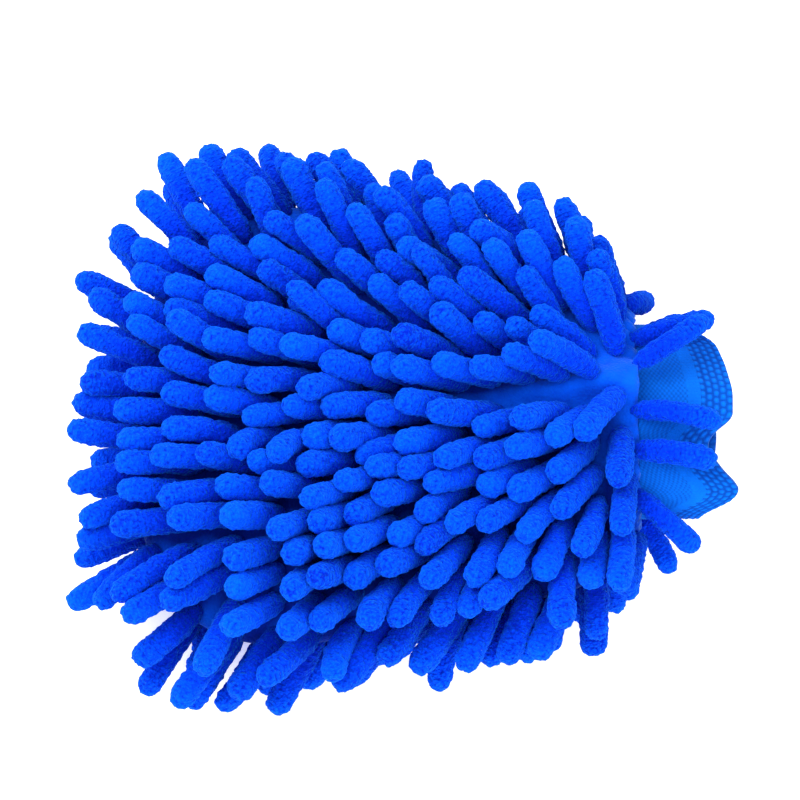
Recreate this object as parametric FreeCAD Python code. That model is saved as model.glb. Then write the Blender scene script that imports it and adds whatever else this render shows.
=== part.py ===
import FreeCAD, Part
import math
import os

# A double-sided chenille wash mitt lying on its back panel, in millimetres.
# +X runs along the mitt to the knitted cuff, +Y across it, +Z up through the front panel.
# The origin is on the surface that the mitt lies on, under the middle of its overall box.

# Ground cloth: two panels sewn into a flat bag, rounded at the closed end, gathered at the mouth
X_APEX = -102.0         # where the rounded outline of the closed end would come to a point
X_CLOSED = -97.5        # sewn edge across the closed end
X_FULL = -45.5          # the bag has its full width and height from here
X_SHOULDER = 44.5       # the gathers start to draw the cloth in here
X_MOUTH = 84.5          # edge of the cloth, sewn to the cuff
HALF_WIDTH_FULL = 84.5
HALF_WIDTH_SHOULDER = 67.0
HALF_WIDTH_MOUTH = 41.0
HALF_HEIGHT_FULL = 12.0
HALF_HEIGHT_MOUTH = 10.6
OUTLINE_POWER = 2.6     # squareness of the closed end's outline, 2 for an ellipse
GATHER_POWER = 2.2      # how late the gathers draw the cloth in
Z_SEAM = 38.2           # height of the plane in which the two panels meet
CLOTH = 1.6             # thickness of the ground cloth
LINING = 0.8            # thickness of the lining inside it

# Seams inside the pocket
SEAM_REACH = 7.0        # how far the side seam's allowance reaches into the pocket
SEAM_THICKNESS = 1.6
MOUTH_SEAM_LENGTH = 5.0
MOUTH_SEAM_THICKNESS = 1.3

# Knitted cuff: a tube folded double at the rim, made here as an upper and a lower half
CUFF_CLEARANCE = 0.3    # between the halves, and from each half to the cloth
CUFF_LENGTH = 39.0
CUFF_HALF_WIDTH = 38.0
CUFF_HALF_HEIGHT = 9.6
CUFF_LAYER = 0.9        # one layer of knit
CUFF_HOLLOW = 0.8       # room between the layers, where the elastic threads lie
RIM_FOLD = 1.2          # length of the fold that joins the layers at the rim
ELASTIC_WIDTH = 0.9
ELASTIC_THICKNESS = 0.5
ELASTIC_COUNT = 8

# Chenille pile: straight fingers, each a neck caught in the cloth, a flare, a body and a round tip
ROWS = 14
FIRST_ROW_X = -92.5
ROW_PITCH = 15.4        # between the first two rows
ROW_TIGHTENING = 0.35   # each pitch is smaller than the one before it by this much
FINGER_PITCH = 10.2
COLLAR_PITCH = 6.8      # in the last row, where every other finger falls forward over the cuff
COLLAR_STAGGER = 1.5    # how far the last row zigzags to each side of its line
FINGER_LENGTH = 33.0
FINGER_RADIUS = 3.8
NECK_RADIUS = 1.1
FLARE_LENGTH = 10.0
ROOT_DEPTH = 0.1        # how deep the middle of a neck's end sits in the cloth
EDGE_CLEARANCE = 3.4    # least height of a root above or below the seam's plane
FINGER_GAP = 0.8        # least gap between two fingers

# How the pile lies: it parts at the mouth and sweeps away to every edge
PARTING_X = 92.5
PARTING_Y = 22.0        # the front pile parts a little to one side of the middle
EDGE_BAND = 60.0        # near the edges the pile turns outwards within this distance
LIFT = math.radians(38)             # angle between a finger and the cloth
CREST_X, CREST_Y = -29.5, -42.0     # a patch of the front pile stands up about here
CREST_RADIUS = 30.0
CREST_LIFT = math.radians(16)       # extra lift in that patch
COLLAR_LIFT = math.radians(18)      # extra lift of the fingers that fall over the cuff
COLLAR_SPREAD = 1.6                 # how much they fan out round it
LEAST_LIFT = math.radians(30)       # no finger is pressed nearer to the cloth than this
SETTLE_STEPS = 120


def half_width(x):
    """Half the bag's width: a superellipse at the closed end, a slow taper, then the gathers."""
    if x < X_FULL:
        reach = (X_FULL - x) / (X_FULL - X_APEX)
        return HALF_WIDTH_FULL * (1 - reach ** OUTLINE_POWER) ** (1 / OUTLINE_POWER)
    along = min((x - X_FULL) / (X_SHOULDER - X_FULL), 1)
    width = HALF_WIDTH_FULL + (HALF_WIDTH_SHOULDER - HALF_WIDTH_FULL) * along ** 2 * (3 - 2 * along)
    gather = max((x - X_SHOULDER) / (X_MOUTH - X_SHOULDER), 0) ** GATHER_POWER
    return width + (HALF_WIDTH_MOUTH - HALF_WIDTH_SHOULDER) * gather


def half_height(x):
    """Half the bag's height: a quarter ellipse at the closed end, nearly level to the mouth."""
    if x < X_FULL:
        reach = (X_FULL - x) / (X_FULL - X_APEX)
        return HALF_HEIGHT_FULL * math.sqrt(1 - reach ** 2)
    along = min((x - X_FULL) / (X_MOUTH - X_FULL), 1)
    return HALF_HEIGHT_FULL + (HALF_HEIGHT_MOUTH - HALF_HEIGHT_FULL) * along ** 2


def slope(profile, x):
    """How fast half_width or half_height grows with x."""
    step = 0.5
    return (profile(x + step) - profile(x - step)) / (2 * step)


def narrowing(x, inset):
    """How much narrower a layer is than the bag, so that the layers keep their thickness in the gathers."""
    if x < X_SHOULDER:
        return inset
    return inset * math.hypot(1, slope(half_width, x))


def ellipse_wire(x, width, height):
    """An ellipse across the mitt at x, about the seam's plane."""
    centre = FreeCAD.Vector(x, 0, Z_SEAM)
    side = FreeCAD.Vector(x, width, Z_SEAM)
    top = FreeCAD.Vector(x, 0, Z_SEAM + height)
    return Part.Wire([Part.Ellipse(side, top, centre).toShape()])


def bag(inset):
    """The bag's shape drawn in by inset all round, and open to the mouth's plane."""
    stations = [X_CLOSED + step for step in (0, 3, 7, 13, 21, 33, 51)]
    stations += [X_FULL + step * (X_SHOULDER - X_FULL) / 3 for step in (1, 2, 3)]
    stations += [X_SHOULDER + step * (X_MOUTH - X_SHOULDER) / 8 for step in range(1, 9)]
    wires = []
    for x in stations:
        shifted = x + inset * (X_MOUTH - x) / (X_MOUTH - X_CLOSED)
        wires.append(ellipse_wire(shifted, half_width(x) - narrowing(x, inset), half_height(x) - inset))
    return Part.makeLoft(wires, True, False)


def half_space(side):
    """A block that holds everything above the seam's plane for side 1, below it for side -1."""
    size = 400.0
    corner = FreeCAD.Vector(-size / 2, -size / 2, Z_SEAM if side > 0 else Z_SEAM - size)
    return Part.makeBox(size, size, size, corner)


def save(node, shape):
    """Writes one node, after a test that it is valid."""
    if not shape.isValid():
        raise ValueError(node + " is not valid")
    shape.exportStep("parts/" + node + ".step")
    print(node, len(shape.Solids), "solids", round(shape.Volume / 1000, 2), "cm3")


# ---------------------------------------------------------------- cloth and lining

def make_cloths():
    """The front and back panels, the lining panels and the seams that join them."""
    outer = bag(0.0)
    under_cloth = bag(CLOTH)
    pocket = bag(CLOTH + LINING)
    cloth = outer.cut(under_cloth)
    lining = under_cloth.cut(pocket)
    for side, name in ((1, "front"), (-1, "back")):
        block = half_space(side)
        save(name + "_cloth", cloth.common(block))
        save(name + "_lining", lining.common(block))
    make_side_seam(pocket)
    make_mouth_seam()


def make_side_seam(pocket):
    """The overlocked allowance inside the pocket, a flat band along both sides and the end."""
    slab_size = 400.0
    slab = Part.makeBox(slab_size, slab_size, SEAM_THICKNESS,
                        FreeCAD.Vector(-slab_size / 2, -slab_size / 2, Z_SEAM - SEAM_THICKNESS / 2))
    stop = X_MOUTH - MOUTH_SEAM_LENGTH - 1.0
    keep = Part.makeBox(stop + slab_size / 2, slab_size, slab_size,
                        FreeCAD.Vector(-slab_size / 2, -slab_size / 2, Z_SEAM - slab_size / 2))
    inset = CLOTH + LINING
    stations = [X_CLOSED + SEAM_REACH + step for step in (0, 3, 7, 14, 26, 44, 80, 110, 135, 150, 160, 168)]
    wires = []
    for x in stations + [X_MOUTH + SEAM_REACH]:
        width = half_width(x - SEAM_REACH * (X_MOUTH - x) / (X_MOUTH - X_CLOSED)) - inset - SEAM_REACH
        wires.append(ellipse_wire(x, width, HALF_HEIGHT_FULL))
    middle = Part.makeLoft(wires, True, False)
    save("side_seam", pocket.common(slab).common(keep).cut(middle))


def make_mouth_seam():
    """The overlocked ring just inside the mouth, where cloth, lining and cuff are sewn together."""
    wall = CLOTH + LINING
    width = HALF_WIDTH_MOUTH - narrowing(X_MOUTH, wall)
    height = HALF_HEIGHT_MOUTH - wall
    along = FreeCAD.Vector(MOUTH_SEAM_LENGTH, 0, 0)
    start = X_MOUTH - MOUTH_SEAM_LENGTH
    ring = Part.Face(ellipse_wire(start, width, height)).extrude(along)
    hole_wire = ellipse_wire(start, width - MOUTH_SEAM_THICKNESS, height - MOUTH_SEAM_THICKNESS)
    save("mouth_seam", ring.cut(Part.Face(hole_wire).extrude(along)))


# ---------------------------------------------------------------- knitted cuff

def cuff_tube(inset, start, end):
    """A solid elliptical bar as long as start to end, smaller than the cuff by inset."""
    face = Part.Face(ellipse_wire(start, CUFF_HALF_WIDTH - inset, CUFF_HALF_HEIGHT - inset))
    return face.extrude(FreeCAD.Vector(end - start, 0, 0))


def make_cuff():
    """Both halves of the doubled knit tube, and the half rings of elastic laid inside each."""
    start = X_MOUTH + CUFF_CLEARANCE
    rim = start + CUFF_LENGTH
    wall = 2 * CUFF_LAYER + CUFF_HOLLOW
    tube = cuff_tube(0, start, rim).cut(cuff_tube(wall, start, rim))
    hollow = cuff_tube(CUFF_LAYER, start, rim - RIM_FOLD)
    hollow = hollow.cut(cuff_tube(CUFF_LAYER + CUFF_HOLLOW, start, rim - RIM_FOLD))
    knit = tube.cut(hollow)
    for side, name in ((1, "upper"), (-1, "lower")):
        block = half_space(side)
        block.translate(FreeCAD.Vector(0, 0, side * CUFF_CLEARANCE / 2))
        save("cuff_" + name, knit.common(block))
        save("cuff_elastic_" + name, elastic_threads(start, rim).common(block))


def elastic_threads(start, rim):
    """Flat elastic threads that run round the cuff in the hollow between its two layers."""
    inset = CUFF_LAYER + (CUFF_HOLLOW - ELASTIC_THICKNESS) / 2
    pitch = (rim - RIM_FOLD - start) / ELASTIC_COUNT
    threads = []
    for count in range(ELASTIC_COUNT):
        middle = start + pitch * (count + 0.5)
        first, last = middle - ELASTIC_WIDTH / 2, middle + ELASTIC_WIDTH / 2
        outer = cuff_tube(inset, first, last)
        threads.append(outer.cut(cuff_tube(inset + ELASTIC_THICKNESS, first, last)))
    return Part.makeCompound(threads)


# ---------------------------------------------------------------- chenille pile

class Finger:
    """One finger: the panel and row it belongs to, its root, the way it points."""

    def __init__(self, side, row, x, y, over_cuff):
        self.side = side
        self.row = row
        height = half_height(x) * math.sqrt(1 - (y / half_width(x)) ** 2)
        self.normal = surface_normal(side, x, y, height)
        surface = FreeCAD.Vector(x, y, Z_SEAM + side * height)
        self.root = surface - self.normal * ROOT_DEPTH
        heading = collar_heading(y) if over_cuff else flow(side, x, y)
        self.axis = leaning(self.normal, heading, lift_of(side, x, y, over_cuff))

    def turn(self, push, along):
        """Turns the finger so that the point at along moves by push, but never into the cloth."""
        self.axis = (self.axis + push / max(along, FLARE_LENGTH)).normalize()
        lack = math.sin(LEAST_LIFT) - self.axis.dot(self.normal)
        if lack > 0:
            self.axis = (self.axis + self.normal * lack).normalize()


def surface_normal(side, x, y, height):
    """Outward normal of the bag's surface, from the slopes of its outline and height."""
    width = half_width(x)
    level = half_height(x)
    across = y / width ** 2
    up = height / level ** 2
    along = -y ** 2 / width ** 3 * slope(half_width, x) - height ** 2 / level ** 3 * slope(half_height, x)
    return FreeCAD.Vector(along, across, side * up).normalize()


def flow(side, x, y):
    """Heading of the pile at (x, y): away from the parting, turned outwards near the edges."""
    parting_y = PARTING_Y if side > 0 else 0.0
    away = FreeCAD.Vector(x - PARTING_X, y - parting_y, 0).normalize()
    width = half_width(x)
    near_side = max(0.0, 1 - (width - abs(y)) / EDGE_BAND)
    near_end = max(0.0, 1 - (x - X_CLOSED) / EDGE_BAND)
    outward = FreeCAD.Vector(-near_end, math.copysign(near_side, y), 0)
    return (away + outward).normalize()


def collar_heading(y):
    """Heading of a finger that falls forward over the cuff, fanned out from the middle."""
    return FreeCAD.Vector(HALF_WIDTH_MOUTH, COLLAR_SPREAD * y, 0).normalize()


def lift_of(side, x, y, over_cuff):
    """Angle between a finger and the cloth: more in the standing patch and over the cuff."""
    if over_cuff:
        return LIFT + COLLAR_LIFT
    if side < 0:
        return LIFT
    distance = math.hypot(x - CREST_X, y - CREST_Y)
    return LIFT + CREST_LIFT * math.exp(-(distance / CREST_RADIUS) ** 2)


def leaning(normal, heading, lift):
    """A finger's direction: its heading laid in the cloth's own plane, lifted off the cloth."""
    heading = (heading - normal * heading.dot(normal)).normalize()
    return heading * math.cos(lift) + normal * math.sin(lift)


def plant_fingers():
    """Roots in rows across each panel, closer towards the mouth, spread evenly from edge to edge."""
    fingers = []
    for side in (1, -1):
        for row in range(ROWS):
            x = FIRST_ROW_X + row * ROW_PITCH - ROW_TIGHTENING * row * (row - 1) / 2
            reach = half_width(x) * math.sqrt(1 - (EDGE_CLEARANCE / half_height(x)) ** 2)
            last_row = row == ROWS - 1
            lines = round(reach / (COLLAR_PITCH if last_row else FINGER_PITCH))
            for line in range(-lines, lines + 1):
                over_cuff = last_row and line % 2 == 0
                shift = 0.0
                if last_row:
                    shift = COLLAR_STAGGER if over_cuff else -COLLAR_STAGGER
                fingers.append(Finger(side, row, x + shift, line * reach / lines, over_cuff))
    return fingers


def nearest(first, second, start):
    """Nearest points of two fingers' axes past start, as how far along each they lie and the gap vector."""
    reach = FINGER_LENGTH - FINGER_RADIUS - start
    between = first.root - second.root + (first.axis - second.axis) * start
    lean = first.axis.dot(second.axis)
    on_first = between.dot(first.axis)
    on_second = between.dot(second.axis)
    spread = 1 - lean * lean
    along = (lean * on_second - on_first) / spread if spread > 1e-6 else reach
    along = min(max(along, 0), reach)
    other = min(max(lean * along + on_second, 0), reach)
    along = min(max(lean * other - on_first, 0), reach)
    gap = between + first.axis * along - second.axis * other
    return along + start, other + start, gap


def thickness(along):
    """A finger's radius at a distance along its axis."""
    flare = min(along / FLARE_LENGTH, 1)
    return NECK_RADIUS + (FINGER_RADIUS - NECK_RADIUS) * flare


def clearances(first, second):
    """How far two fingers are apart, once over their whole length and once past their flares."""
    for start in (0, FLARE_LENGTH):
        along, other, gap = nearest(first, second, start)
        yield gap.Length - thickness(along) - thickness(other), along, other, gap


def settle(fingers):
    """Turns each finger about its root until no two are nearer than the least gap."""
    near = 2 * FINGER_LENGTH * math.cos(LIFT)
    pairs = []
    for index, first in enumerate(fingers):
        for second in fingers[index + 1:]:
            if (first.root - second.root).Length < near:
                pairs.append((first, second))
    for _ in range(SETTLE_STEPS):
        moved = False
        for first, second in pairs:
            for clearance, along, other, gap in clearances(first, second):
                if clearance < FINGER_GAP:
                    moved = True
                    push = gap * (0.55 * (FINGER_GAP - clearance) / max(gap.Length, 1e-6))
                    first.turn(push, along)
                    second.turn(-push, other)
        if not moved:
            break
    touching = [pair for pair in pairs if min(found[0] for found in clearances(*pair)) < 0]
    lowest = min(math.asin(finger.axis.dot(finger.normal)) for finger in fingers)
    print("pairs that still touch:", len(touching), "least lift:", round(math.degrees(lowest), 1))


def finger_shape():
    """The solid of one finger, upright on the origin: a profile turned about its axis."""
    shoulder = FINGER_LENGTH - FINGER_RADIUS
    points = [FreeCAD.Vector(0, 0, 0), FreeCAD.Vector(NECK_RADIUS, 0, 0),
              FreeCAD.Vector(FINGER_RADIUS, 0, FLARE_LENGTH), FreeCAD.Vector(FINGER_RADIUS, 0, shoulder)]
    tip = FreeCAD.Vector(0, 0, FINGER_LENGTH)
    half_way = FreeCAD.Vector(FINGER_RADIUS * math.sqrt(0.5), 0, shoulder + FINGER_RADIUS * math.sqrt(0.5))
    edges = [Part.LineSegment(start, end).toShape() for start, end in zip(points, points[1:])]
    edges.append(Part.Arc(points[-1], half_way, tip).toShape())
    edges.append(Part.LineSegment(tip, points[0]).toShape())
    face = Part.Face(Part.Wire(edges))
    return face.revolve(FreeCAD.Vector(0, 0, 0), FreeCAD.Vector(0, 0, 1), 360)


def make_pile():
    """Each row of each panel as one node of separate fingers."""
    fingers = plant_fingers()
    settle(fingers)
    upright = finger_shape()
    for side, name in ((1, "front"), (-1, "back")):
        for row in range(ROWS):
            solids = []
            for finger in fingers:
                if finger.side == side and finger.row == row:
                    turn = FreeCAD.Rotation(FreeCAD.Vector(0, 0, 1), finger.axis)
                    solid = upright.copy()
                    solid.Placement = FreeCAD.Placement(finger.root, turn)
                    solids.append(solid)
            save("%s_pile_row_%02d" % (name, row + 1), Part.makeCompound(solids))


os.makedirs("parts", exist_ok=True)
make_cloths()
make_cuff()
make_pile()
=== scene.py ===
import math

import bmesh
import bpy
import numpy as np
from mathutils import Matrix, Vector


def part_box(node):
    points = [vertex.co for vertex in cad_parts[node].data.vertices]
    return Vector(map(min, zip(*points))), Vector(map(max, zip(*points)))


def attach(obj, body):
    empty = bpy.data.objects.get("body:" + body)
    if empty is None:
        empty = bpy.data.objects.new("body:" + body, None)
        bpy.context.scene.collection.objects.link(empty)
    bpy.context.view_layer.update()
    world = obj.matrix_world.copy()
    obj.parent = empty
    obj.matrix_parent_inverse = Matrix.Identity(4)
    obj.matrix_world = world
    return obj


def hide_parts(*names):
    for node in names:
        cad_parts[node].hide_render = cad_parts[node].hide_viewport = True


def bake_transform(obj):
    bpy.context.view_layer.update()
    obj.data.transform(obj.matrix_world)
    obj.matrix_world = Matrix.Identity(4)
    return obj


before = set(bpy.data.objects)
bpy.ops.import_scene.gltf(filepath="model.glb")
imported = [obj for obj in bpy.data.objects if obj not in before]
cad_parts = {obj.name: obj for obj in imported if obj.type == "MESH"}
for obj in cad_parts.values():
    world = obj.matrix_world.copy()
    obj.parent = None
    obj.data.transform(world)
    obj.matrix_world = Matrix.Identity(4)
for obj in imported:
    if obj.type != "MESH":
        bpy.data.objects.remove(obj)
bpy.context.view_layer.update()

MM = 0.001

# ------------------------------------------------------------------ ground cloth
# Two panels of warp-knitted polyester, cut alike and overlocked face to face along both sides
# and the rounded end, then turned. The pile is tufted into them. Near the mouth the cloth is
# gathered to the cuff's width, and on the front a soft fold runs in from the cuff.
cloth_low, cloth_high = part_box("front_cloth")
X_CLOSED, X_MOUTH = cloth_low[0], cloth_high[0]
Z_SEAM = cloth_low[2]
HALF_WIDTH_FULL = 84.5 * MM
HALF_WIDTH_SHOULDER = 67 * MM
HALF_WIDTH_MOUTH = 41 * MM
HALF_HEIGHT_FULL = 12 * MM
HALF_HEIGHT_MOUTH = 10.6 * MM
X_APEX = X_CLOSED - 4.5 * MM
X_FULL = X_CLOSED + 52 * MM
X_SHOULDER = X_MOUTH - 40 * MM
OUTLINE_POWER = 2.6
GATHER_POWER = 2.2
CLOTH = 1.6 * MM
FOLD_SLOPE = 0.154
FOLD_Y = 13 * MM
FOLD_HEIGHT = 8 * MM
FOLD_HALF_WIDTH = 6 * MM
FOLD_LENGTH = 80 * MM
GATHERS = 34
GATHER_DEPTH = 0.7 * MM
PANEL_UV = (0.17, 0.18)


def half_width(x):
    """Half the bag's width: a superellipse at the closed end, an eased taper, then the gathers."""
    reach = np.clip((X_FULL - x) / (X_FULL - X_APEX), 0, 1)
    rounded = HALF_WIDTH_FULL * (1 - reach ** OUTLINE_POWER) ** (1 / OUTLINE_POWER)
    along = np.clip((x - X_FULL) / (X_SHOULDER - X_FULL), 0, 1)
    taper = (HALF_WIDTH_SHOULDER - HALF_WIDTH_FULL) * along ** 2 * (3 - 2 * along)
    gather = np.clip((x - X_SHOULDER) / (X_MOUTH - X_SHOULDER), 0, 1) ** GATHER_POWER
    return rounded + taper + (HALF_WIDTH_MOUTH - HALF_WIDTH_SHOULDER) * gather


def half_height(x):
    """Half the bag's height: a quarter ellipse at the closed end, nearly level to the mouth."""
    reach = np.clip((X_FULL - x) / (X_FULL - X_APEX), 0, 1)
    along = np.clip((x - X_FULL) / (X_MOUTH - X_FULL), 0, 1)
    return HALF_HEIGHT_FULL * np.sqrt(1 - reach ** 2) + (HALF_HEIGHT_MOUTH - HALF_HEIGHT_FULL) * along ** 2


def fold(x, y):
    """Height of the front's soft fold: a bell across a line from the cuff, dying out along it."""
    across = (y - FOLD_Y - FOLD_SLOPE * (x - X_MOUTH)) / FOLD_HALF_WIDTH
    along = np.clip((X_MOUTH - x) / FOLD_LENGTH, 0, 1)
    return FOLD_HEIGHT * np.exp(-across ** 2) * (1 - along ** 2) ** 2


def grid_mesh(name, points, wrap_rows=False, wrap_columns=False, uv_size=(1, 1), capped=False):
    """A mesh from an array of points, rows by columns by 3, with quads between neighbours.
    The UV map runs from 0 to uv_size, along the columns and then the rows."""
    rows, columns = points.shape[:2]
    row = np.arange(rows if wrap_rows else rows - 1)
    column = np.arange(columns if wrap_columns else columns - 1)
    r, c = np.meshgrid(row, column, indexing="ij")
    r2, c2 = r + 1, c + 1
    around = (r, c), (r, c2), (r2, c2), (r2, c)
    corners = np.stack([(a % rows) * columns + b % columns for a, b in around], -1)
    faces = corners.reshape(-1, 4).tolist()
    u = np.stack([c, c2, c2, c], -1) / max(len(column), 1) * uv_size[0]
    v = np.stack([r, r, r2, r2], -1) / max(len(row), 1) * uv_size[1]
    uv = np.stack([u, v], -1).reshape(-1, 2)
    if capped:
        first = np.arange(columns)
        faces += [first[::-1].tolist(), (first + (rows - 1) * columns).tolist()]
        uv = np.concatenate([uv, np.zeros((2 * columns, 2))])
    mesh = bpy.data.meshes.new(name)
    mesh.from_pydata(points.reshape(-1, 3).tolist(), [], faces)
    layer = mesh.uv_layers.new(name="UVMap")
    layer.data.foreach_set("uv", uv.astype(np.float32).ravel())
    mesh.polygons.foreach_set("use_smooth", np.ones(len(mesh.polygons), bool))
    mesh.update()
    return mesh


def add_piece(name, mesh, material):
    """An object of the mesh at the origin, with its material."""
    piece = bpy.data.objects.new(name, mesh)
    bpy.context.scene.collection.objects.link(piece)
    mesh.materials.append(material)
    return piece


class Maths:
    """A node socket that can be used in Python expressions; each operator adds its Math node."""

    def __init__(self, tree, socket):
        self.tree, self.socket = tree, socket

    def node(self, kind, settings=None, **inputs):
        """Adds a node of that type, with its settings made first, then its inputs set or linked."""
        made = self.tree.nodes.new(kind)
        for key, value in (settings or {}).items():
            setattr(made, key, value)
        for key, value in inputs.items():
            label = key.replace("_", " ")
            target = made.inputs[int(key[1:])] if key[1:].isdigit() else made.inputs[label]
            if isinstance(value, Maths):
                self.tree.links.new(value.socket, target)
            else:
                target.default_value = value
        return made

    def get(self, kind, output, settings=None, **inputs):
        """The same, giving one of the node's outputs."""
        return Maths(self.tree, self.node(kind, settings, **inputs).outputs[output])

    def math(self, operation, first, second):
        return self.get("ShaderNodeMath", "Value", {"operation": operation}, i0=first, i1=second)

    def __add__(self, other):
        return self.math("ADD", self, other)

    def __sub__(self, other):
        return self.math("SUBTRACT", self, other)

    def __mul__(self, other):
        return self.math("MULTIPLY", self, other)


def new_material(name, roughness, sheen, sheen_tint):
    """A material with one Principled shader, its constants set on the shader's own sockets."""
    material = bpy.data.materials.new(name)
    material.use_nodes = True
    shader = material.node_tree.nodes["Principled BSDF"]
    shader.inputs["Roughness"].default_value = roughness
    shader.inputs["Specular IOR Level"].default_value = 0.04
    shader.inputs["Sheen Weight"].default_value = sheen
    shader.inputs["Sheen Roughness"].default_value = 0.45
    shader.inputs["Sheen Tint"].default_value = (*sheen_tint, 1)
    return material, shader, Maths(material.node_tree, None)


def feed(material, shader, colour, height, distance):
    """Links a colour to the base colour and a height, through a Bump node, to the normal."""
    tree = material.node_tree
    tree.links.new(colour.socket, shader.inputs["Base Color"])
    maths = Maths(tree, None)
    bump = maths.get("ShaderNodeBump", "Normal", None, Height=height, Distance=distance, Strength=1.0)
    tree.links.new(bump.socket, shader.inputs["Normal"])


CLOTH_DARK = (0.0, 0.05, 0.55, 1)
CLOTH_LIGHT = (0.0, 0.12, 0.90, 1)
CLOTH_SHADOW = (0.0, 0.005, 0.20, 1)
cloth_blue, shader, maths = new_material("ground cloth", 0.85, 0.35, (0.25, 0.6, 1.0))
place = maths.get("ShaderNodeTexCoord", "Object")
loops = maths.get("ShaderNodeTexVoronoi", "Distance", {"feature": "F1"}, Vector=place, Scale=900.0)
mottle = maths.get("ShaderNodeTexNoise", "Fac", None, Vector=place, Scale=160.0, Detail=3.0)
tone = maths.get("ShaderNodeMix", "Result", {"data_type": "RGBA"}, i0=mottle, i6=CLOTH_DARK, i7=CLOTH_LIGHT)
# Painted shadow: the cloth is mixed towards a dark blue where the pile lies over it.
covered = maths.get("ShaderNodeAttribute", "Fac", {"attribute_name": "buried"})
shadow = maths.get("ShaderNodeMapRange", "Result", None, Value=covered,
                   From_Min=0.3, From_Max=2.2, To_Max=0.90)
tone = maths.get("ShaderNodeMix", "Result", {"data_type": "RGBA"}, i0=shadow, i6=tone, i7=CLOTH_SHADOW)
feed(cloth_blue, shader, tone, loops * -0.6 + mottle, 0.5 * MM)


def panel_normal(side, x, y):
    """Outward normal of a panel, from the slopes of its outline and height."""
    step = 0.5 * MM
    width, height = half_width(x), half_height(x)
    rise = height * np.sqrt(np.maximum(1 - (y / width) ** 2, 0))
    width_slope = (half_width(x + step) - half_width(x - step)) / (2 * step)
    height_slope = (half_height(x + step) - half_height(x - step)) / (2 * step)
    along = -(y ** 2 / width ** 3 * width_slope + rise ** 2 / height ** 3 * height_slope)
    normal = np.stack([along, y / width ** 2, side * rise / height ** 2], -1)
    return normal / np.linalg.norm(normal, axis=-1, keepdims=True)


def panel_points(side, inset=0.0, along=120, across=104):
    """A panel of the bag: x eased towards the apex, and half an ellipse across at each x,
    moved inwards by inset along the panel's normal."""
    ease = np.linspace(0.02, 1, along)
    x = X_APEX + (X_MOUTH - X_APEX) * (1 - np.cos(ease * math.pi / 2))
    turn = np.linspace(-math.pi / 2, math.pi / 2, across)
    x, turn = np.meshgrid(x, turn, indexing="ij")
    mouthward = np.clip((x - X_SHOULDER) / (X_MOUTH - X_SHOULDER), 0, 1)
    pleats = GATHER_DEPTH * mouthward ** 2 * np.cos(GATHERS * turn)
    y = half_width(x) * np.sin(turn)
    rise = (half_height(x) + pleats) * np.cos(turn)
    if side > 0:
        rise = rise + fold(x, y) * np.cos(turn)
    points = np.stack([x, y, Z_SEAM + side * rise], -1) - inset * panel_normal(side, x, y * 0.9999)
    points[..., 0] = np.minimum(points[..., 0], X_MOUTH)
    return points if side > 0 else points[:, ::-1]


def add_panel(name, side, inset, thickness, material, node):
    """A panel of cloth of that thickness, closed all round, that stands for a CAD node."""
    mesh = grid_mesh(name, panel_points(side, inset), uv_size=PANEL_UV)
    panel = add_piece(name, mesh, material)
    wall = panel.modifiers.new("thickness", "SOLIDIFY")
    wall.thickness = thickness
    wall.offset = -1
    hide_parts(node)
    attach(panel, "mitt")


for side, name in ((1, "front"), (-1, "back")):
    add_panel(name + "_ground_cloth", side, 0.0, CLOTH, cloth_blue, name + "_cloth")

# ------------------------------------------------------------------ lining
# Two panels of thin brushed polyester, cut like the ground cloth and sewn into the same seams,
# which keep the hand off the tufts' back loops.
LINING = 0.8 * MM
LINING_GAP = 0.15 * MM
LINING_DARK = (0.0, 0.03, 0.30, 1)
LINING_LIGHT = (0.0, 0.12, 0.70, 1)
lining_blue, shader, maths = new_material("brushed lining", 0.9, 0.5, (0.3, 0.6, 1.0))
place = maths.get("ShaderNodeTexCoord", "Object")
nap = maths.get("ShaderNodeTexNoise", "Fac", None, Vector=place, Scale=1100.0, Detail=4.0)
mottle = maths.get("ShaderNodeTexNoise", "Fac", None, Vector=place, Scale=120.0, Detail=2.0)
tone = maths.get("ShaderNodeMix", "Result", {"data_type": "RGBA"}, i0=nap * 0.5 + mottle * 0.5,
                 i6=LINING_DARK, i7=LINING_LIGHT)
feed(lining_blue, shader, tone, nap, 0.25 * MM)
for side, name in ((1, "front"), (-1, "back")):
    add_panel(name + "_brushed_lining", side, CLOTH + LINING_GAP, LINING, lining_blue,
              name + "_lining")

# ------------------------------------------------------------------ seams inside the pocket
# The overlocked allowance of the side seam, a flat band that stands into the pocket along both
# sides and the closed end, and the overlocked ring where cloth, lining and cuff meet.
SEAM_REACH = 7 * MM
SEAM_THICKNESS = 1.6 * MM
THREAD_PITCH = 2.2 * MM
SEAM_STEPS = 700
RING_STEPS = 300
SEAM_DARK = (0.0, 0.035, 0.36, 1)
SEAM_LIGHT = (0.0, 0.14, 0.80, 1)
seam_blue, shader, maths = new_material("overlock thread", 0.8, 0.3, (0.3, 0.6, 1.0))
along_seam = maths.get("ShaderNodeUVMap", "UV")
thread = maths.get("ShaderNodeTexWave", "Fac", {"wave_type": "BANDS", "bands_direction": "Y"},
                   Vector=along_seam, Scale=150.0, Distortion=1.2, Detail=1.0)
place = maths.get("ShaderNodeTexCoord", "Object")
fuzz = maths.get("ShaderNodeTexNoise", "Fac", None, Vector=place, Scale=1300.0, Detail=3.0)
tone = maths.get("ShaderNodeMix", "Result", {"data_type": "RGBA"}, i0=thread * 0.7 + fuzz * 0.3,
                 i6=SEAM_DARK, i7=SEAM_LIGHT)
feed(seam_blue, shader, tone, thread * 0.8 + fuzz * 0.3, 0.4 * MM)


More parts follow.
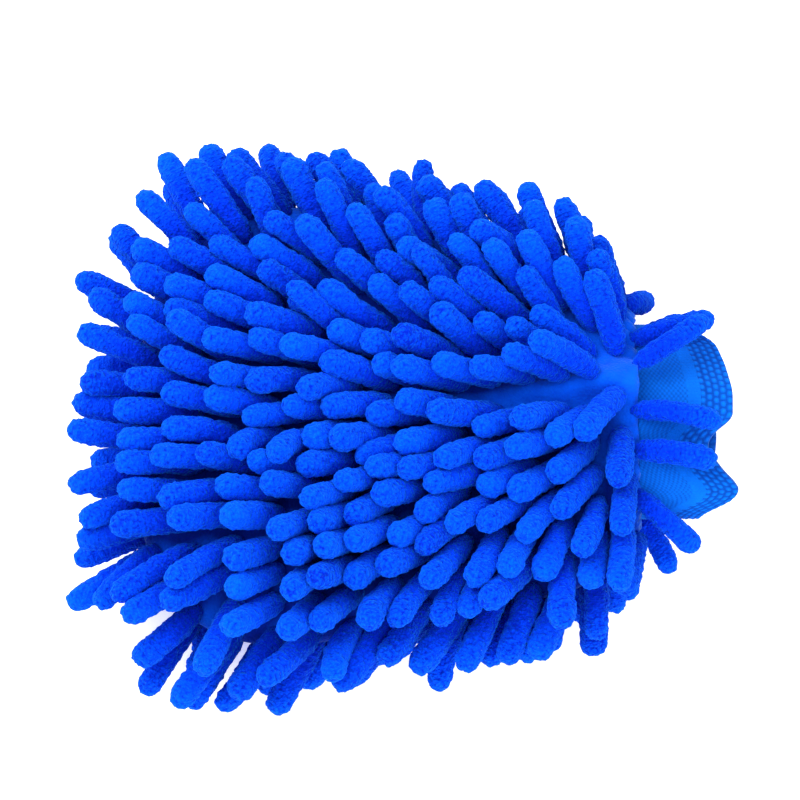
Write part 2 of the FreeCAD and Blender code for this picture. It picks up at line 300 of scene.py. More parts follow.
def stitched(profile, centre, outward, up, length_along):
    """Rows of a band: an oval profile (outward, up) at each centre, with a bulge at each thread."""
    bulge = 1 + 0.10 * np.cos(length_along * 2 * math.pi / THREAD_PITCH)[:, None, None]
    return (centre[:, None] + outward[:, None] * profile[None, :, :1] * bulge
            + up[:, None] * profile[None, :, 1:] * bulge)


def oval(half_reach, half_thickness, count=16, power=0.5):
    """Points round a rounded rectangle."""
    turn = np.arange(count) * 2 * math.pi / count
    soft = [np.sign(f(turn)) * np.abs(f(turn)) ** power for f in (np.cos, np.sin)]
    return np.stack([half_reach * soft[0], half_thickness * soft[1]], -1)


stop = X_MOUTH - 6.5 * MM
start = X_CLOSED + 4 * MM
ease = np.linspace(0, math.pi / 2, 160)
side_x = start + (stop - start) * (1 - np.cos(ease))
edge = np.stack([side_x, half_width(side_x), 0 * side_x], -1)
end_y = np.linspace(edge[0, 1], -edge[0, 1], 60)[1:-1]
end_x = X_CLOSED + (start - X_CLOSED) * (np.abs(end_y) / edge[0, 1]) ** 3
path = np.concatenate([edge[::-1], np.stack([end_x, end_y, 0 * end_x], -1), edge * [1, -1, 1]])
steps = np.concatenate([[0], np.cumsum(np.linalg.norm(np.diff(path, axis=0), axis=1))])
evenly = np.linspace(0, steps[-1], SEAM_STEPS)
path = np.stack([np.interp(evenly, steps, path[:, axis]) for axis in range(3)], -1)
ahead = np.gradient(path, axis=0)
ahead = ahead / np.linalg.norm(ahead, axis=1, keepdims=True)
inward = np.cross([0, 0, 1.0], ahead)
wall = CLOTH + LINING + 0.3 * MM
middle = path + inward * (wall + SEAM_REACH / 2) + [0, 0, Z_SEAM]
upward = np.tile([0, 0, 1.0], (SEAM_STEPS, 1))
band = stitched(oval(SEAM_REACH / 2, SEAM_THICKNESS / 2), middle, inward, upward, evenly)
mesh = grid_mesh("side_seam_overlock", band, wrap_columns=True, uv_size=(0.017, evenly[-1]), capped=True)
piece = add_piece("side_seam_overlock", mesh, seam_blue)
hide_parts("side_seam")
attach(piece, "mitt")

turn = np.arange(RING_STEPS) * 2 * math.pi / RING_STEPS
ring_low, ring_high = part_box("mouth_seam")
ring_width, ring_height = ring_high[1] - 0.8 * MM, ring_high[2] - Z_SEAM - 0.8 * MM
centre_x = (ring_low[0] + ring_high[0]) / 2
middle = np.stack([0 * turn + centre_x, ring_width * np.cos(turn), Z_SEAM + ring_height * np.sin(turn)], -1)
out = np.stack([0 * turn, np.cos(turn) * ring_height, np.sin(turn) * ring_width], -1)
out = out / np.linalg.norm(out, axis=1, keepdims=True)
steps = np.linspace(0, 2 * math.pi * 0.62 * ring_width, RING_STEPS)
profile = oval((ring_high[0] - ring_low[0]) / 2 * 0.95, 0.6 * MM)
forward = np.tile([1.0, 0, 0], (RING_STEPS, 1))
band = stitched(profile, middle, forward, out, np.round(steps / THREAD_PITCH, 6) * THREAD_PITCH)
mesh = grid_mesh("mouth_seam_overlock", band, True, True, uv_size=(0.012, steps[-1]))
piece = add_piece("mouth_seam_overlock", mesh, seam_blue)
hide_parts("mouth_seam")
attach(piece, "mitt")

# ------------------------------------------------------------------ chenille pile
# Fingers of chenille: a twisted core with a thick plush of split microfibre round it, each about
# 34 mm long and 9.6 mm thick, tufted through the ground cloth in rows across the mitt. They
# lean on each other, so their lie is worked out by letting them settle.
ROWS = 14
FIRST_ROW_X = X_CLOSED + 5 * MM
ROW_PITCH = 15.4 * MM
ROW_TIGHTENING = 0.35 * MM
FINGER_PITCH = 10.2 * MM
COLLAR_PITCH = 6.8 * MM
COLLAR_STAGGER = 1.5 * MM
EDGE_CLEARANCE = 3.4 * MM
FINGER_LENGTH = 34 * MM
FINGER_RADIUS = 4.8 * MM
BEADS = 9
SETTLE_STEPS = 150
PARTING = np.array([X_MOUTH + 4 * MM, 11 * MM])
CREST = np.array([(88.5, 13.5), (71, 10), (56, 7), (41, 5.5), (24, 3.5), (2, 0)]) * MM
EDGE_BAND = 60 * MM
random = np.random.default_rng(11)


def unit(vectors):
    """Each vector over its own length."""
    return vectors / np.maximum(np.linalg.norm(vectors, axis=-1, keepdims=True), 1e-9)


def beside_crest(x, y):
    """Signed distance across the crest line of the front's fold, and how much it matters."""
    line_y = np.interp(x, CREST[::-1, 0], CREST[::-1, 1])
    near = np.exp(-((y - line_y) / (16 * MM)) ** 2) * np.clip((x + 10 * MM) / (35 * MM), 0, 1)
    return y - line_y, near


def combed(side, x, y, over_cuff):
    """Heading of the pile: away from the parting by the cuff and from the crest of the fold,
    outwards near the edges, and over the cuff where over_cuff is 1."""
    away = unit(np.stack([x - PARTING[0], y - (PARTING[1] if side > 0 else 0), 0 * x], -1))
    near_side = np.clip(1 - (half_width(x) - np.abs(y)) / EDGE_BAND, 0, 1) ** 1.5
    near_side = near_side * np.clip((55 * MM - x) / (55 * MM), 0, 1) * np.where(y < 0, 0.3, 1.0)
    near_end = np.clip(1 - (x - X_CLOSED) / EDGE_BAND, 0, 1) ** 1.5
    corner = 1.6 * near_end * np.clip(np.abs(y) / (60 * MM), 0, 1) ** 4
    outward = np.stack([-near_end, np.sign(y) * (near_side + corner), 0 * x], -1)
    if side > 0:
        across, near = beside_crest(x, y)
        outward = outward + np.stack([0 * x, near * np.where(across > 0, 0.1, -0.3), 0 * x], -1)
    away = unit(away + outward)
    collar = unit(np.stack([0 * x + HALF_WIDTH_MOUTH, 1.5 * y, 0 * x], -1))
    return unit(away * (1 - over_cuff[:, None]) + collar * over_cuff[:, None])


def plant(side):
    """Roots of one panel's fingers, row by row, the row number of each, and whether it falls
    over the cuff, as every other finger of the last row does."""
    roots = []
    for row in range(ROWS):
        x = FIRST_ROW_X + row * ROW_PITCH - ROW_TIGHTENING * row * (row - 1) / 2
        reach = half_width(x) * math.sqrt(1 - (EDGE_CLEARANCE / half_height(x)) ** 2)
        last_row = row == ROWS - 1
        lines = round(reach / (COLLAR_PITCH if last_row else FINGER_PITCH))
        for line in range(-lines, lines + 1):
            over_cuff = float(last_row and line % 2 == 0)
            shift = (2 * over_cuff - 1) * COLLAR_STAGGER * last_row
            roots.append((x + shift, line * reach / lines, row, over_cuff))
    x, y, row, over_cuff = np.array(roots).T
    x = x + random.normal(0, 0.6 * MM, len(x))
    y = y + random.normal(0, 0.4 * MM, len(x))
    if side > 0:
        across, near = beside_crest(x, y)
        y = y + np.sign(across) * 1.5 * MM * near ** 3
    x = np.minimum(x, X_MOUTH - 0.5 * MM)
    y = np.clip(y, -0.985 * half_width(x), 0.985 * half_width(x))
    rise = half_height(x) * np.sqrt(1 - (y / half_width(x)) ** 2)
    if side > 0:
        rise = rise + fold(x, y)
    return np.stack([x, y, Z_SEAM + side * rise], -1), row.astype(int), over_cuff


def wished_paths(side, roots, length, over_cuff, quirks, raised):
    """Where each finger would lie alone: it rises from the cloth and bows over to its heading.
    Quirks are each finger's own turn, root lift, tip lift and bow; raised adds to both lifts."""
    x, y = roots[:, 0], roots[:, 1]
    normal = panel_normal(side, x, y)
    heading = combed(side, x, y, over_cuff)
    turn = (0.15 + 0.10 * over_cuff) * quirks[:, 0]
    heading = np.stack([heading[:, 0] * np.cos(turn) - heading[:, 1] * np.sin(turn),
                        heading[:, 0] * np.sin(turn) + heading[:, 1] * np.cos(turn), 0 * x], -1)
    root_lift = np.radians(56 if side > 0 else 62) + 0.07 * quirks[:, 1]
    tip_lift = np.radians(20 if side > 0 else 26) + 0.09 * quirks[:, 2]
    if side > 0:
        standing = np.exp(-((x + 29 * MM) ** 2 + (y + 52 * MM) ** 2) / (28 * MM) ** 2)
        root_lift = root_lift + np.radians(16) * standing
        tip_lift = tip_lift + np.radians(40) * standing
    edge = np.clip(1 - (half_width(x) - np.abs(y)) / (12 * MM), 0, 1)
    end = np.clip(1 - (x - X_CLOSED) / (12 * MM), 0, 1)
    root_lift = root_lift - np.radians(30) * np.maximum(edge, end) - np.radians(25) * over_cuff
    tip_lift = tip_lift - np.radians(22) * over_cuff
    paths = [roots]
    for bead in range(1, BEADS):
        part = (bead - 0.5) / (BEADS - 1)
        lift = root_lift + (tip_lift - root_lift) * part ** 0.7 + raised
        swing = ((0.20 + 0.25 * over_cuff) * quirks[:, 3] * part)[:, None]
        forward = heading * np.cos(swing) + np.cross([0, 0, 1], heading) * np.sin(swing)
        flat = unit(forward - normal * np.sum(forward * normal, -1, keepdims=True))
        step = flat * np.cos(lift)[:, None] + normal * np.sin(lift)[:, None]
        paths.append(paths[-1] + step * (length / (BEADS - 1))[:, None])
    return np.stack(paths, 1)


def close_beads(points, owner, reach):
    """Pairs of beads on different fingers that are nearer than reach, from a table of distances."""
    square = np.sum(points ** 2, -1)
    table = square[:, None] + square[None, :] - 2 * points @ points.T
    first, second = np.nonzero(np.triu(table < reach ** 2, 1))
    apart = owner[first] != owner[second]
    return first[apart], second[apart]


def push_apart(points, radius, first, second):
    """Moves touching beads apart, each by half of what they lack, averaged over its contacts."""
    gap = points[first] - points[second]
    distance = np.linalg.norm(gap, axis=1) + 1e-9
    short = np.clip(radius[first] + radius[second] - distance, 0, None)
    push = gap * (0.5 * short / distance)[:, None]
    touching = (short > 0).astype(float)
    total = len(points)
    contacts = np.bincount(first, touching, total) + np.bincount(second, touching, total)
    move = np.stack([np.bincount(first, push[:, axis], total) - np.bincount(second, push[:, axis], total)
                     for axis in range(3)], -1)
    return points + move * (1.4 / np.maximum(contacts, 1))[:, None]


def push_out(points, radius, x_from, x_to, width, height, free):
    """Moves beads out of an elliptical body swollen by their radius, by one Newton step."""
    x, y, z = points[:, 0], points[:, 1], points[:, 2] - Z_SEAM
    wide, high = width + radius, height + radius
    level = np.sqrt((y / wide) ** 2 + (z / high) ** 2) + 1e-9
    inside = (level < 1) & (x > x_from) & (x < x_to) & ~free
    slope_y, slope_z = y / wide ** 2 / level, z / high ** 2 / level
    step = np.where(inside, (1 - level) / (slope_y ** 2 + slope_z ** 2), 0)
    step = np.minimum(step, 2 * MM / np.hypot(slope_y, slope_z))
    return points + np.stack([0 * x, step * slope_y, step * slope_z], -1)


def settle(raised, wished, length, bead_radius):
    """Lets the fingers down from raised to wished: each is drawn to its own lie, least of all in
    height, kept out of its neighbours, the cloth, the cuff and the floor, and kept at its length."""
    count = len(wished)
    beads = raised.copy()
    owner = np.repeat(np.arange(count), BEADS)
    radius = bead_radius.ravel()
    place = np.tile(np.arange(BEADS), count)
    hold = 0.12 + 0.25 * np.clip(1 - np.arange(BEADS) / 3, 0, 1)
    hold = hold[None, 1:, None] * np.array([1, 1, 0.45])
    cuff_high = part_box("cuff_upper")[1]
    for step in range(SETTLE_STEPS):
        down = min(step / (0.6 * SETTLE_STEPS), 1)
        drawn = raised + (wished - raised) * down
        beads[:, 1:] += (drawn - beads)[:, 1:] * hold
        beads[:, 1:-1] += 0.25 * (0.5 * (beads[:, :-2] + beads[:, 2:]) - beads[:, 1:-1])
        points = beads.reshape(-1, 3)
        if step % 5 == 0:
            first, second = close_beads(points, owner, 2.6 * FINGER_RADIUS)
        points = push_apart(points, radius, first, second)
        body_x = np.clip(points[:, 0], X_APEX + 0.5 * MM, X_MOUTH)
        points = push_out(points, 0.8 * radius, X_APEX, X_MOUTH,
                          half_width(body_x), half_height(body_x), place < 2)
        points = push_out(points, 0.8 * radius, X_MOUTH, cuff_high[0], cuff_high[1],
                          cuff_high[2] - Z_SEAM, place < 2)
        points[:, 2] = np.maximum(points[:, 2], 1.05 * radius + 0.3 * MM)
        points = points.reshape(count, BEADS, 3)
        points[:, 0] = wished[:, 0]
        for bead in range(1, BEADS):
            link = unit(points[:, bead] - points[:, bead - 1])
            points[:, bead] = points[:, bead - 1] + link * (length / (BEADS - 1))[:, None]
        beads = points
    return beads


def buried(places, owners, beads, across):
    """How deep each place lies in the pile: the sum over other fingers' beads above it of
    exp(-(distance across / across) ** 2), up or down whichever is outwards."""
    points = beads.reshape(-1, 3)
    bead_owners = np.repeat(np.arange(len(beads)), BEADS)
    cover = np.zeros(len(places))
    for start in range(0, len(places), 512):
        part = slice(start, start + 512)
        gap = points[None] - places[part, None]
        outward = np.where(places[part, None, 2] > Z_SEAM, 1, -1)
        above = np.clip(gap[..., 2] * outward / (9 * MM), 0, 1)
        near = np.exp(-(gap[..., 0] ** 2 + gap[..., 1] ** 2) / across ** 2)
        cover[part] = np.sum(above * near * (bead_owners[None] != owners[part, None]), axis=1)
    return cover


SIDES = 9
RING_PLACES = np.array([0.0, 0.09, 0.19, 0.29, 0.39, 0.49, 0.59, 0.69, 0.79, 0.89, 0.965, 1.0])
RING_RADII = np.array([0.50, 0.76, 0.93, 0.97, 0.98, 1.0, 1.0, 1.01, 1.03, 1.0, 0.72, 0.34])


def finger_cages(beads, radius):
    """Cages of all fingers: rings of SIDES points carried along each finger's path, on frames
    that turn as little as they can from ring to ring."""
    place = RING_PLACES * (BEADS - 1)
    index = np.minimum(place.astype(int), BEADS - 2)
    part = (place - index)[None, :, None]
    centre = beads[:, index] * (1 - part) + beads[:, index + 1] * part
    tangent = unit(np.gradient(centre, axis=1))
    normal = [unit(np.cross(tangent[:, 0], [0.31, 0.22, 0.93]))]
    for ring in range(1, len(place)):
        last = normal[-1]
        normal.append(unit(last - tangent[:, ring] * np.sum(last * tangent[:, ring], -1, keepdims=True)))
    normal = np.stack(normal, 1)
    side = np.cross(tangent, normal)
    lumps = 1 + random.normal(0, 0.03, centre.shape[:2])
    size = radius[:, None] * RING_RADII[None, :] * lumps / 0.94
    angle = np.arange(SIDES) * 2 * math.pi / SIDES
    across = (normal[:, :, None] * np.cos(angle)[:, None] + side[:, :, None] * np.sin(angle)[:, None])
    return centre[:, :, None] + across * size[:, :, None, None]


def pile_mesh(name, cages, shade, cover):
    """One mesh of several fingers. UV runs round and along each finger in metres, and three
    attributes hold each finger's own shade, how near its tip a point is and how buried it is."""
    count, rings = cages.shape[:2]
    first = np.arange(count)[:, None, None] * rings * SIDES
    ring = np.arange(rings - 1)[None, :, None] * SIDES
    column = np.arange(SIDES)[None, None, :]
    following = (column + 1) % SIDES
    quads = np.stack([first + ring + column, first + ring + following,
                      first + ring + SIDES + following, first + ring + SIDES + column], -1).reshape(-1, 4)
    start = (first[:, 0] + np.arange(SIDES)[None, ::-1])
    end = (first[:, 0] + (rings - 1) * SIDES + np.arange(SIDES)[None])
    mesh = bpy.data.meshes.new(name)
    mesh.from_pydata(cages.reshape(-1, 3).tolist(), [], quads.tolist() + start.tolist() + end.tolist())
    turn = np.stack([column, column + 1, column + 1, column], -1) / SIDES * 2 * math.pi * FINGER_RADIUS
    turn = np.broadcast_to(turn, (count, rings - 1, SIDES, 4))
    near = np.broadcast_to(RING_PLACES[:-1, None] * FINGER_LENGTH, (rings - 1, SIDES))
    far = np.broadcast_to(RING_PLACES[1:, None] * FINGER_LENGTH, (rings - 1, SIDES))
    along = np.broadcast_to(np.stack([near, near, far, far], -1)[None], turn.shape)
    sides_uv = np.stack([turn, along], -1).reshape(-1, 2)
    cap = np.linspace(0, 1, SIDES)[None, :, None] * [0.002, 0.001]
    caps_uv = np.concatenate([np.tile(ends, (count, 1, 1)) for ends in (cap, cap + [0, FINGER_LENGTH])])
    uv = np.concatenate([sides_uv, caps_uv.reshape(-1, 2)])
    layer = mesh.uv_layers.new(name="UVMap")
    layer.data.foreach_set("uv", uv.astype(np.float32).ravel())
    for attribute, values in (("tipward", RING_PLACES[None, :, None]), ("shade", shade[:, None, None]),
                              ("buried", cover[:, :, None])):
        values = np.broadcast_to(values, (count, rings, SIDES))
        held = mesh.attributes.new(attribute, "FLOAT", "POINT")
        held.data.foreach_set("value", values.astype(np.float32).ravel())
    mesh.polygons.foreach_set("use_smooth", np.ones(len(mesh.polygons), bool))
    mesh.update()
    return mesh


CHENILLE_DEEP_SHADE_AND_TONE = (0.0, 0.014, 0.50, 1)
CHENILLE_BODY = (0.0, 0.050, 0.97, 1)
CHENILLE_TIP_HIGHLIGHT = (0.0, 0.135, 1.0, 1)
CHENILLE_SHADOW = (0.0, 0.012, 0.42, 1)
chenille, shader, maths = new_material("chenille plush", 0.95, 0.5, (0.02, 0.34, 1.0))
place = maths.get("ShaderNodeTexCoord", "Object")
tipward = maths.get("ShaderNodeAttribute", "Fac", {"attribute_name": "tipward"})
shade = maths.get("ShaderNodeAttribute", "Fac", {"attribute_name": "shade"})
covered = maths.get("ShaderNodeAttribute", "Fac", {"attribute_name": "buried"})
round_and_along = maths.get("ShaderNodeMapping", "Vector", None, Vector=maths.get("ShaderNodeUVMap", "UV"),
                            Scale=(420.0, 1150.0, 1.0))
wrinkles = maths.get("ShaderNodeTexNoise", "Fac", None, Vector=round_and_along,
                     Scale=1.0, Detail=2.0, Distortion=0.6)
plush = maths.get("ShaderNodeTexNoise", "Fac", None, Vector=place, Scale=900.0, Detail=3.0, Roughness=0.6)
tufts = maths.get("ShaderNodeTexVoronoi", "Distance", {"feature": "F1"}, Vector=place, Scale=900.0)
coat = plush * 0.6 + wrinkles * 0.9 - tufts * 0.5
# Painted shade: the coat's hollows, the same height that feeds the bump, are mixed towards the deep blue;
# each finger's own shade adds a real random tone.
depth = maths.get("ShaderNodeMapRange", "Result", None, Value=coat + shade * 0.5,
                  From_Min=0.2, From_Max=0.8)
body = maths.get("ShaderNodeMix", "Result", {"data_type": "RGBA"},
                 i0=depth, i6=CHENILLE_DEEP_SHADE_AND_TONE, i7=CHENILLE_BODY)
# Painted highlight: the outer part of each finger is mixed towards a lighter blue, most on the coat's
# raised parts.
tip_highlight = maths.get("ShaderNodeMapRange", "Result", None, Value=tipward, From_Min=0.45, From_Max=1.0)
lit = maths.get("ShaderNodeMix", "Result", {"data_type": "RGBA"},
                i0=tip_highlight * depth * 0.7, i6=body, i7=CHENILLE_TIP_HIGHLIGHT)
# Painted shadow: the pile is mixed towards a dark blue where other fingers lie over it.
shadow = maths.get("ShaderNodeMapRange", "Result", None, Value=covered,
                   From_Min=0.3, From_Max=4.2, To_Max=0.85)
tone = maths.get("ShaderNodeMix", "Result", {"data_type": "RGBA"}, i0=shadow, i6=lit, i7=CHENILLE_SHADOW)
feed(chenille, shader, tone, coat, 1.3 * MM)

ridges = bpy.data.textures.new("plush ridges", "CLOUDS")
ridges.noise_scale = 1.9 * MM
ridges.noise_depth = 1

planted = {side: plant(side) for side in (1, -1)}
roots = np.concatenate([planted[1][0], planted[-1][0]])
over_cuff = np.concatenate([planted[1][2], planted[-1][2]])
at_end = np.clip(-roots[:, 0] / (70 * MM), 0, 1) ** 2
at_corner = at_end * np.clip(np.abs(roots[:, 1]) / (65 * MM), 0, 1) ** 4
lengths = FINGER_LENGTH * (1 + 0.10 * at_corner + random.normal(0, 0.06, len(roots)))
radii = FINGER_RADIUS * (1 - 0.10 * over_cuff + random.normal(0, 0.045, len(roots)))
quirks = random.normal(0, 1, (len(roots), 4))
split = len(planted[1][0])
STARTING_LIFT = np.radians(24)
lies = []
for raised in (STARTING_LIFT, 0.0):
    halves = (1, slice(0, split)), (-1, slice(split, None))
    lies.append(np.concatenate([wished_paths(side, roots[part], lengths[part], over_cuff[part],
                                             quirks[part], raised) for side, part in halves]))
contact = np.clip(0.45 + 0.5 * np.arange(BEADS) / 2, 0, 0.94)
settled = settle(lies[0], lies[1], lengths, radii[:, None] * contact[None, :])
cover = buried(settled.reshape(-1, 3), np.repeat(np.arange(len(roots)), BEADS), settled, 8 * MM)
cover = cover.reshape(len(roots), BEADS)
# Each panel of ground cloth keeps how buried it lies under the pile, for its painted shadow.
for name in ("front_ground_cloth", "back_ground_cloth"):
    panel = bpy.data.objects[name].data
    vertices = np.zeros(3 * len(panel.vertices))
    panel.vertices.foreach_get("co", vertices)
    shaded = buried(vertices.reshape(-1, 3), np.full(len(panel.vertices), -1), settled, 5 * MM)
    panel.attributes.new("buried", "FLOAT", "POINT").data.foreach_set("value", shaded.astype(np.float32))
cover = np.stack([np.interp(RING_PLACES * (BEADS - 1), np.arange(BEADS), each) for each in cover])
cages = finger_cages(settled, radii)
shades = random.normal(0, 0.12, len(roots))
for side, name, offset in ((1, "front", 0), (-1, "back", split)):
    for row in range(ROWS):
        members = np.nonzero(planted[side][1] == row)[0] + offset
        node = "%s_pile_row_%02d" % (name, row + 1)
        mesh = pile_mesh(node + "_chenille", cages[members], shades[members], cover[members])
        piece = add_piece(node + "_chenille", mesh, chenille)
        smooth = piece.modifiers.new("smooth", "SUBSURF")
        smooth.levels = smooth.render_levels = 2
        plush = piece.modifiers.new("plush", "DISPLACE")
        plush.texture = ridges
        plush.strength = 1.5 * MM
        plush.mid_level = 0.5
        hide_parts(node)
        if row < ROWS - 1:
            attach(piece, "mitt")
        else:
            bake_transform(piece)

# ------------------------------------------------------------------ knitted cuff
# A tube of elastic rib knit, folded double at the rim and sewn into the mouth. A welt of bold
# stitches runs round the rim, with a smooth band and finer knit behind it. It lies empty, so it
# waves across and a valley runs in from the rim. Its upper and lower halves are made apart.
CUFF_START = X_MOUTH + 0.3 * MM
CUFF_HALF_WIDTH = 38 * MM
CUFF_HALF_HEIGHT = 9.6 * MM
CUFF_LAYER = 0.9 * MM
CUFF_HOLLOW = 0.8 * MM
WELT = 12 * MM
SMOOTH_BAND = 5 * MM
WELT_STITCH = 1.9 * MM
WELT_COURSE = 2.5 * MM
CUFF_DARK = (0.0, 0.018, 0.22, 1)
CUFF_LIGHT = (0.0, 0.19, 0.92, 1)
RIM_UPPER = np.array([(-38, 106), (-35, 115), (-31, 122.6), (-27, 120.5), (-23, 116.7), (-15, 111.8),
                      (-11.6, 111.1), (-8, 112.2), (-2, 120.3), (9, 120.5), (20, 118.5), (29, 115.5),
                      (33, 110), (38, 105)]) * MM
RIM_LOWER = np.array([(-38, 106), (-30, 110), (-20, 114), (-6, 116), (8, 116), (22, 117), (32, 112),
                      (38, 105)]) * MM
cuff_knit, shader, maths = new_material("rib knit", 0.75, 0.35, (0.3, 0.65, 1.0))
stitch = maths.get("ShaderNodeAttribute", "Fac", {"attribute_name": "stitch"})
place = maths.get("ShaderNodeTexCoord", "Object")
yarn = maths.get("ShaderNodeTexNoise", "Fac", None, Vector=place, Scale=1500.0, Detail=3.0)
wear = maths.get("ShaderNodeTexNoise", "Fac", None, Vector=place, Scale=260.0, Detail=3.0)
# Painted shade and highlight: hollows between raised stitches are darker and their tops lighter; the yarn
# and wear noise add a real tone.
stitch_shade_yarn_and_wear = stitch * 0.62 + yarn * 0.28 + wear * 0.25 - 0.08
tone = maths.get("ShaderNodeMix", "Result", {"data_type": "RGBA"}, i0=stitch_shade_yarn_and_wear,
                 i6=CUFF_DARK, i7=CUFF_LIGHT)
feed(cuff_knit, shader, tone, yarn + stitch * 0.5, 0.3 * MM)


def rim_x(side, y):
    """Where the rim is at y, from the table of its outline, smoothed over 4 mm."""
    outline = RIM_UPPER if side > 0 else RIM_LOWER
    x = sum(np.interp(y + shift, outline[:, 0], outline[:, 1]) for shift in np.linspace(-2, 2, 5) * MM)
    return x / 5


def knit(from_rim, around):
    """Height of the stitches from 0 to 1: a welt of bold dots, a smooth band, then finer knit."""
    course = np.floor(from_rim / WELT_COURSE)
    dots = (0.5 - 0.5 * np.cos(2 * math.pi * from_rim / WELT_COURSE)) ** 0.7
    dots = dots * (0.5 + 0.5 * np.cos(2 * math.pi * (around / WELT_STITCH + 0.5 * (course % 2)))) ** 0.6
    fine = 0.55 + (0.35 * np.cos(2 * math.pi * around / (1.5 * MM))
                   * np.cos(2 * math.pi * from_rim / (1.7 * MM)))
    smooth = 0.72 + 0.05 * np.cos(2 * math.pi * around / (0.9 * MM))
    in_welt = from_rim < WELT
    in_band = (from_rim >= WELT) & (from_rim < WELT + SMOOTH_BAND)
    return np.where(in_welt, dots, np.where(in_band, smooth, fine))


def knit_surface(side, turn, along, depth, relief=0.0):
    """A layer of the cuff: half an ellipse round it at each place along it, waved, with its
    stitches raised by relief. It is depth below the outer face."""
    width, height = CUFF_HALF_WIDTH - depth, CUFF_HALF_HEIGHT - depth
    flat_y = CUFF_HALF_WIDTH * np.cos(turn)
    length = rim_x(side, flat_y) - CUFF_START
    x = CUFF_START + length * along
    around = turn * 0.55 * (CUFF_HALF_WIDTH + CUFF_HALF_HEIGHT)
    stitches = knit(length * (1 - along), around)
    raised = relief * stitches
    y = (width + raised) * np.cos(turn)
    z = (height + raised) * np.sin(turn)
    if side > 0:
        valley = 5.0 * MM * np.exp(-((flat_y + 12 * MM) / (5 * MM)) ** 2)
        crowns = 1.8 * MM * (np.exp(-((flat_y - 8 * MM) / (9 * MM)) ** 2)
                             + np.exp(-((flat_y + 28 * MM) / (6 * MM)) ** 2))
        z = z + (crowns - valley) * along * np.sin(turn)
    else:
        z = z - 0.8 * MM * np.cos(flat_y / (7 * MM)) * along * np.sin(turn)
    return np.stack([x, y, Z_SEAM + side * z], -1), stitches


def cuff_piece(piece, node):
    """Puts a piece of the cuff in place of its CAD node: hides the node and bakes the piece's transform
    into its mesh."""
    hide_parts(node)
    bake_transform(piece)


AROUND = 384
for side, name in ((1, "upper"), (-1, "lower")):
    turn = np.linspace(0, math.pi, AROUND)[:, None]
    runs = []
    to_rim, to_mouth = np.linspace(0, 0.985, 118), np.linspace(0.985, 0, 16)
    wall = 2 * CUFF_LAYER + CUFF_HOLLOW
    for along, depth, relief in ((to_rim, 0.0, 0.45 * MM), (np.array([0.997, 1.0, 0.997]), None, 0.0),
                                 (to_mouth, wall, 0.0), (0.97 * to_mouth[::-1], wall - CUFF_LAYER, 0.0),
                                 (0.97 * to_mouth, CUFF_LAYER, 0.0)):
        if depth is None:
            depth = np.array([0.25, 0.5, 0.75]) * wall
        runs.append(knit_surface(side, turn, along[None, :], depth, relief))
    points = np.concatenate([run[0] for run in runs], axis=1)
    stitches = np.concatenate([run[1] for run in runs], axis=1)
    points = points if side > 0 else points[::-1]
    mesh = grid_mesh("cuff_%s_knit" % name, points, wrap_columns=True, uv_size=(0.16, 0.09), capped=True)
    raised = mesh.attributes.new("stitch", "FLOAT", "POINT")
    stitches = stitches if side > 0 else stitches[::-1]
    raised.data.foreach_set("value", stitches.astype(np.float32).ravel())
    piece = add_piece("cuff_%s_knit" % name, mesh, cuff_knit)
    cuff_piece(piece, "cuff_" + name)

# ------------------------------------------------------------------ elastic threads
# Flat covered elastic threads laid round the cuff in the hollow between its two layers.
ELASTIC_COUNT = 8
ELASTIC_DARK = (0.01, 0.03, 0.25, 1)
ELASTIC_LIGHT = (0.02, 0.16, 0.62, 1)
elastic_blue, shader, maths = new_material("covered elastic", 0.6, 0.2, (0.3, 0.6, 1.0))
place = maths.get("ShaderNodeTexCoord", "Object")
wrap = maths.get("ShaderNodeTexNoise", "Fac", None, Vector=place, Scale=2200.0, Detail=2.0)
tone = maths.get("ShaderNodeMix", "Result", {"data_type": "RGBA"}, i0=wrap,
                 i6=ELASTIC_DARK, i7=ELASTIC_LIGHT)
feed(elastic_blue, shader, tone, wrap, 0.1 * MM)
for side, name in ((1, "upper"), (-1, "lower")):
    turn = np.linspace(0.004, math.pi - 0.004, 160)[:, None]
    strips = []
    for count in range(ELASTIC_COUNT):
        middle = (count + 0.5) / ELASTIC_COUNT * 0.95
        near, far = [np.full((1, 1), middle + shift) for shift in (-0.012, 0.012)]
        outer, inner = CUFF_LAYER + np.array([0.2, 0.6]) * MM
        strip = [knit_surface(side, turn, along, depth)[0] for along, depth in
                 ((near, outer), (far, outer), (far, inner), (near, inner))]
        strip = np.concatenate(strip, axis=1)
        strips.append(strip if side > 0 else strip[::-1])
    meshes = [grid_mesh("strip", strip, wrap_columns=True, capped=True) for strip in strips]
    build = bmesh.new()
    for each in meshes:
        build.from_mesh(each)
        bpy.data.meshes.remove(each)
    mesh = bpy.data.meshes.new("cuff_elastic_%s_threads" % name)
    build.to_mesh(mesh)
    build.free()
    piece = add_piece("cuff_elastic_%s_threads" % name, mesh, elastic_blue)
    cuff_piece(piece, "cuff_elastic_" + name)

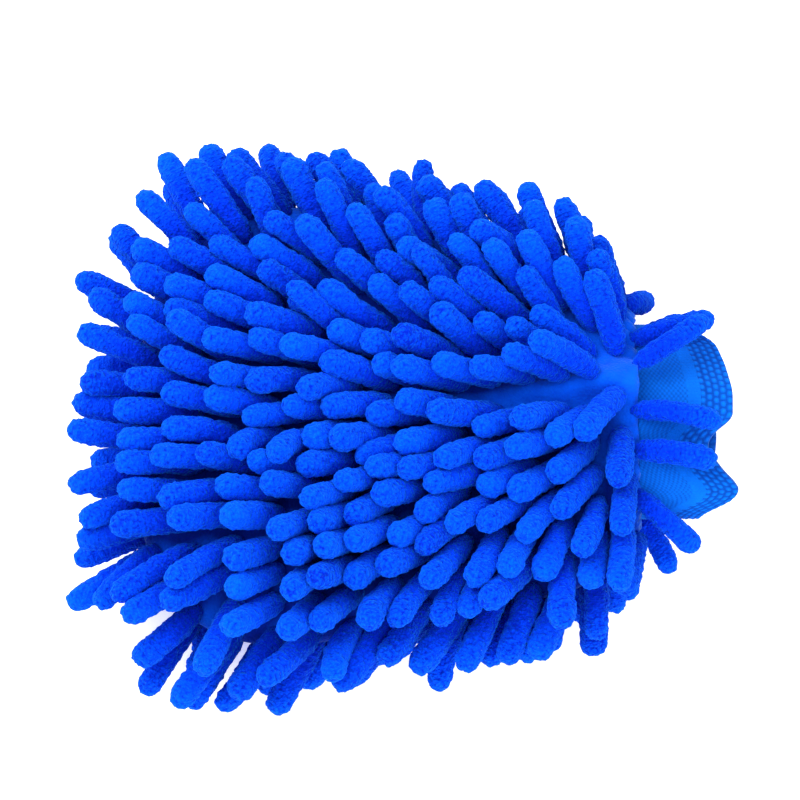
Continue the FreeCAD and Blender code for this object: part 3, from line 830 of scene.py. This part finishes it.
# ------------------------------------------------------------------ floor, light and camera
# A plain pale sheet under the mitt, soft daylight from the upper left, and the camera above it.
floor_size = 4.0
floor_mesh = grid_mesh("floor", np.array([[(-floor_size, -floor_size, 0), (floor_size, -floor_size, 0)],
                                          [(-floor_size, floor_size, 0), (floor_size, floor_size, 0)]]))
floor_white = bpy.data.materials.new("pale floor")
floor_white.use_nodes = True
floor_shader = floor_white.node_tree.nodes["Principled BSDF"]
floor_shader.inputs["Base Color"].default_value = (0.93, 0.93, 0.93, 1)
floor_shader.inputs["Roughness"].default_value = 0.9
floor_shader.inputs["Emission Color"].default_value = (1, 1, 1, 1)
floor_shader.inputs["Emission Strength"].default_value = 0.35
floor = bpy.data.objects.new("floor", floor_mesh)
floor_mesh.materials.append(floor_white)
bpy.context.scene.collection.objects.link(floor)

world = bpy.data.worlds.new("studio")
world.use_nodes = True
world.node_tree.nodes["Background"].inputs["Color"].default_value = (1, 1, 1, 1)
world.node_tree.nodes["Background"].inputs["Strength"].default_value = 1.08
bpy.context.scene.world = world


def aim(thing, place, target):
    """Puts a camera or light at place, looking at target, with +Y up in the picture."""
    place, target = np.array(place), np.array(target)
    back = unit(place - target)
    right = unit(np.cross([0, 1, 0.3], back))
    up = np.cross(back, right)
    matrix = np.eye(4)
    matrix[:3, 0], matrix[:3, 1], matrix[:3, 2], matrix[:3, 3] = right, up, back, place
    thing.matrix_world = Matrix(matrix.tolist())


key = bpy.data.lights.new("key", "AREA")
key.size = 0.9
key.energy = 13.5
key_light = bpy.data.objects.new("key", key)
bpy.context.scene.collection.objects.link(key_light)
aim(key_light, (-0.55, 0.50, 0.85), (0, 0, 0.03))

fill = bpy.data.lights.new("fill", "AREA")
fill.size = 1.0
fill.energy = 8
fill_light = bpy.data.objects.new("fill", fill)
bpy.context.scene.collection.objects.link(fill_light)
aim(fill_light, (0.35, -0.75, 0.55), (0, 0, 0.03))

ELEVATION = math.radians(72)
DISTANCE = 0.95
target = np.array([-4 * MM, 6 * MM, 45 * MM])
camera_data = bpy.data.cameras.new("camera")
camera_data.sensor_width = 36
camera_data.lens = 36 * DISTANCE / 0.300
camera = bpy.data.objects.new("camera", camera_data)
bpy.context.scene.collection.objects.link(camera)
aim(camera, target + DISTANCE * np.array([0, -math.cos(ELEVATION), math.sin(ELEVATION)]), target)
bpy.context.scene.camera = camera
bpy.context.scene.view_settings.view_transform = "Standard"
